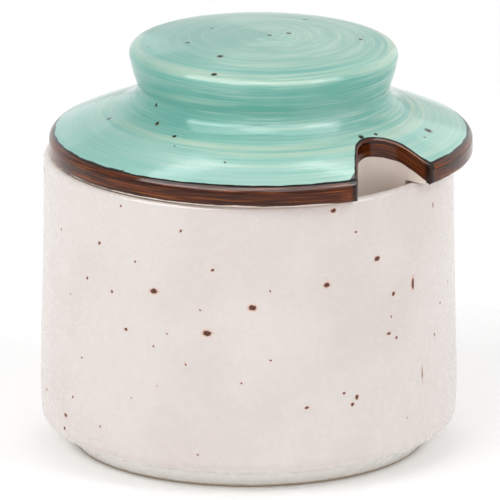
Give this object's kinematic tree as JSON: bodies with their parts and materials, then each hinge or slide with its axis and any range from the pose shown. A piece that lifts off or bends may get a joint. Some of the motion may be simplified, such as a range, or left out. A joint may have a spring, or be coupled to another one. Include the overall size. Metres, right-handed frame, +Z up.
{
  "type": "butter crock",
  "caption": "Round ceramic butter crock: a white speckled jar and a turquoise, brown-edged lid with a broad knob, a notched flange and a bell that hangs inside the jar.",
  "frame": {"origin": "on the surface the crock stands on, under the middle of the closed object's box; the jar's axis is 1.45 mm to -X of it and the lid's axis 1.45 mm to +X, because the lid sits pushed to one side of its play", "axes": "+Z up along the jar's axis, -Y towards the front, +X to the front's right; the notch in the lid faces the front right"},
  "size_m": [0.1034, 0.1012, 0.1],
  "materials": {
    "white_glaze": "glossy warm white glaze with dark iron speckles",
    "turquoise_glaze": "glossy brushed turquoise glaze, with a brown brushed band on the flange's edge and white glaze below it"
  },
  "bodies": {
    "crock_body": {"crock": "white_glaze"},
    "lid_body": {"lid": "turquoise_glaze"}
  },
  "joints": [
    {"name": "lid_lift", "type": "slide", "parent": "crock_body", "child": "lid_body", "axis": [0, 0, 1], "range_m": [0, 0.06]}
  ]
}
